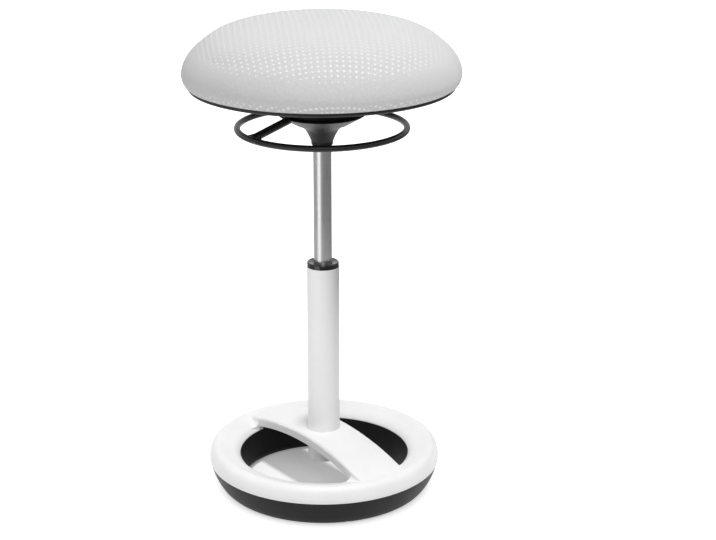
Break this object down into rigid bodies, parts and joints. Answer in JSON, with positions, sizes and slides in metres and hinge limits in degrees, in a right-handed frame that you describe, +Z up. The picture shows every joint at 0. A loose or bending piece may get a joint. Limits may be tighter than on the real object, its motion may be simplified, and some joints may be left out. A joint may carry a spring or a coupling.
{
  "type": "perch stool",
  "caption": "Height-adjustable perch stool: domed round fabric seat on a gas lift with a ring lever below it, standing on a round rocking base with an arched bridge.",
  "frame": {"origin": "on the floor, under the axis of the column", "axes": "+Z up along the column; X along the bridge of the base; the lever's arm points along -Y"},
  "size_m": [0.4205, 0.4205, 0.744],
  "materials": {
    "white_cover": "satin",
    "black_rocker": "matte",
    "white_steel": "satin",
    "dark_steel": "satin",
    "zinc_steel": "satin",
    "brushed_tube": "satin",
    "bearing_steel": "polished",
    "bronze": "satin",
    "black_gloss": "gloss",
    "black_plastic": "matte",
    "hub_casting": "satin",
    "seal_rubber": "matte",
    "inner_alloy": "satin",
    "plywood": "matte",
    "foam": "matte",
    "knit_fabric": "matte"
  },
  "bodies": {
    "base": {"base_cover": "white_cover", "rocker_ring": "black_rocker", "base_screws": "zinc_steel", "bridge_brace": "dark_steel", "brace_screws": "zinc_steel", "column_tube": "white_steel", "tube_end_plate": "zinc_steel", "guide_bushing": "black_gloss", "lower_race": "bearing_steel", "bearing_balls": "bearing_steel", "ball_cage": "bronze"},
    "lift_rod": {"piston_rod": "bearing_steel", "piston": "inner_alloy", "piston_seal": "seal_rubber", "upper_race": "bearing_steel", "rubber_buffer": "seal_rubber", "foot_washer": "zinc_steel", "retaining_clip": "dark_steel"},
    "seat": {"pressure_tube": "brushed_tube", "inner_cylinder": "inner_alloy", "rod_guide": "black_plastic", "rod_seal": "seal_rubber", "valve_body": "inner_alloy", "seat_hub": "hub_casting", "hub_screws": "zinc_steel", "pivot_pin": "zinc_steel", "seat_plate": "dark_steel", "seat_bolts": "zinc_steel", "seat_washers": "zinc_steel", "t_nuts": "zinc_steel", "seat_board": "plywood", "seat_foam": "foam", "seat_cover": "knit_fabric", "seat_pan": "black_plastic", "pan_screws": "dark_steel", "cover_staples": "zinc_steel"},
    "lever": {"lever_ring": "dark_steel", "lever_tongue": "dark_steel"},
    "valve": {"valve_pin": "bearing_steel"}
  },
  "joints": [
    {"name": "seat_swivel", "type": "hinge", "parent": "base", "child": "lift_rod", "pos_m": [0, 0, 0.05], "axis": [0, 0, 1], "continuous": true},
    {"name": "seat_height", "type": "slide", "parent": "lift_rod", "child": "seat", "axis": [0, 0, 1], "range_m": [-0.18, 0.02]},
    {"name": "lever_pull", "type": "hinge", "parent": "seat", "child": "lever", "pos_m": [0, -0.045, 0.60227], "axis": [-1, 0, 0], "range_deg": [0, 4], "stiffness_Nm_per_rad": 4, "springref_deg": -9.17},
    {"name": "valve_press", "type": "slide", "parent": "seat", "child": "valve", "axis": [0, 0, -1], "range_m": [0, 0.0035]}
  ],
  "couplings": [
    {"joint": "valve_press", "follows": "lever_pull", "m_per_rad": 0.045}
  ]
}
